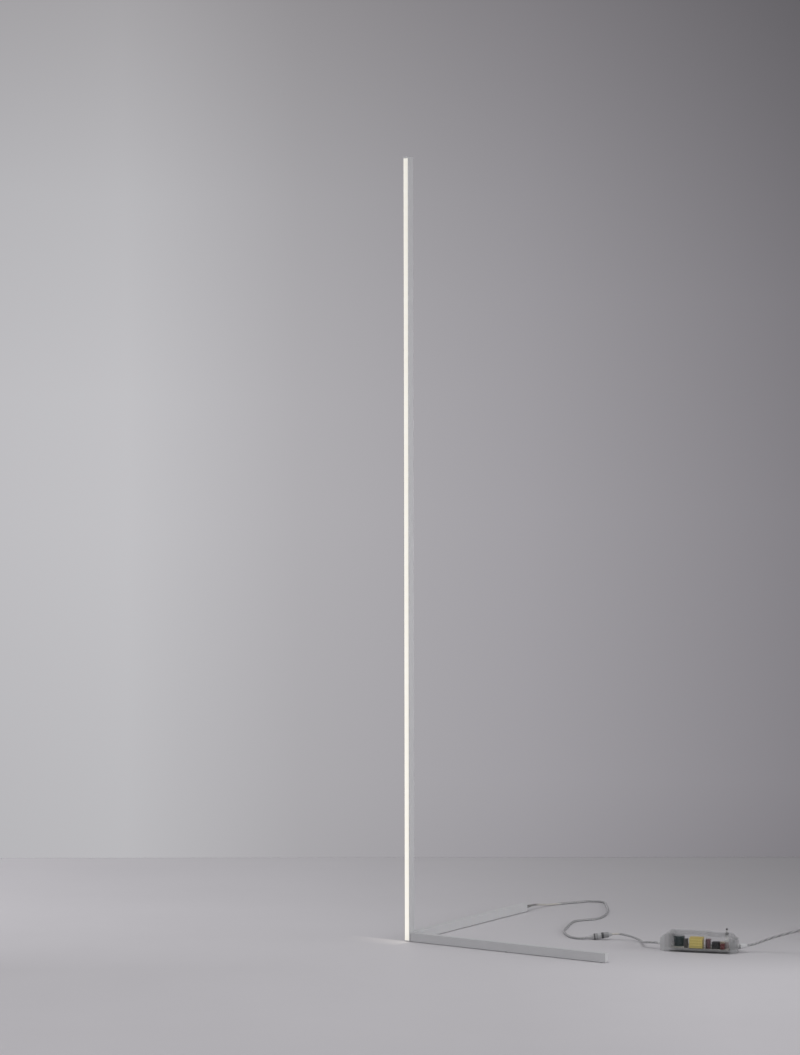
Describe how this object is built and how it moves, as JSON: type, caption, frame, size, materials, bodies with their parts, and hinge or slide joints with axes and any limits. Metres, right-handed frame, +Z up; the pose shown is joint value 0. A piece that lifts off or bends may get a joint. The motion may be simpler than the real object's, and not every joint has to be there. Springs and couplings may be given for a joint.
{
  "type": "floor lamp",
  "caption": "Slim white floor lamp: a square column with a lit front strip on an L-shaped base, with a cord, in-line connector, clear driver box with push switch, coil and plug.",
  "frame": {"origin": "on the floor under the middle of the column", "axes": "+Z up along the column, +X along the side foot, +Y along the rear foot with the cord; the light faces -Y"},
  "size_m": [0.8947, 0.7581, 1.8],
  "materials": {
    "white_paint": "white powder coat, satin",
    "opal": "opal, lit warm white from behind",
    "strip_board": "white solder mask",
    "led": "phosphor yellow",
    "steel": "plain steel",
    "ballast": "raw iron",
    "pad_rubber": "black rubber",
    "wire": "insulated wire",
    "relief": "smooth dark grey sleeve",
    "cord_sleeve": "glossy clear sleeve over silver-grey cores",
    "connector_grey": "light grey moulding",
    "ring_grey": "dark grey, knurled",
    "seal_black": "black rubber",
    "contact": "plated contacts",
    "clear_case": "clear moulding",
    "boot": "grey soft boot",
    "circuit_board": "pale board",
    "transformer_tape": "yellow tape",
    "ferrite": "dark ferrite",
    "capacitor_sleeve": "dark teal sleeve",
    "film_purple": "dark red epoxy",
    "component_black": "black moulding",
    "component_red": "red epoxy",
    "component_beige": "beige ceramic",
    "card_white": "white insulating card",
    "switch_dark": "black moulding",
    "nut_metal": "plated nut",
    "lead_white": "white insulated wire",
    "stem_white": "white plastic",
    "tie_black": "black nylon",
    "pin_metal": "plated pins"
  },
  "bodies": {
    "lamp": {"column_profile": "white_paint", "column_top_cap": "white_paint", "column_bottom_cap": "white_paint", "side_foot_tube": "white_paint", "rear_foot_tube": "white_paint", "side_foot_end_cap": "white_paint", "rear_foot_end_cap": "white_paint", "diffuser": "opal", "led_board": "strip_board", "led_chips": "led", "base_block": "steel", "side_foot_plug": "steel", "rear_foot_plug": "steel", "side_foot_screw": "steel", "rear_foot_screws": "steel", "side_foot_ballast": "ballast", "rear_foot_ballast": "ballast", "foot_pads": "pad_rubber", "lead_wires": "wire", "cord_strain_relief": "relief", "lamp_cord": "cord_sleeve", "connector_plug": "connector_grey", "connector_socket": "connector_grey", "connector_seal": "seal_black", "connector_contacts": "contact", "driver_cord": "cord_sleeve", "driver_case_base": "clear_case", "driver_case_cover": "clear_case", "driver_case_screws": "steel", "driver_entry_boot": "boot", "driver_exit_boot": "boot", "driver_circuit_board": "circuit_board", "transformer_base": "component_black", "transformer_winding": "transformer_tape", "transformer_core": "ferrite", "bulk_capacitor": "capacitor_sleeve", "film_capacitor": "film_purple", "switching_module": "component_black", "red_capacitor": "component_red", "fuse_block": "component_beige", "insulation_card": "card_white", "rectifier_block": "component_black", "output_leads": "wire", "switch_leads": "lead_white", "dimmer_switch": "switch_dark", "switch_nut": "nut_metal", "mains_cord": "cord_sleeve", "mains_coil": "cord_sleeve", "mains_tail": "cord_sleeve", "cord_tie": "tie_black", "mains_plug": "connector_grey", "plug_pins": "pin_metal"},
    "dimmer_button": {"button_stem": "stem_white", "button_cap": "switch_dark"},
    "lock_ring": {"connector_lock_ring": "ring_grey"}
  },
  "joints": [
    {"name": "button_press", "type": "slide", "parent": "lamp", "child": "dimmer_button", "axis": [0, 0, -1], "range_m": [0, 0.0026], "stiffness_N_per_m": 300},
    {"name": "lock_ring_turn", "type": "hinge", "parent": "lamp", "child": "lock_ring", "pos_m": [0.3576, 0.2551, 0.009], "axis": [0.8398, 0.5248, 0.1392], "range_deg": [0, 60]}
  ]
}
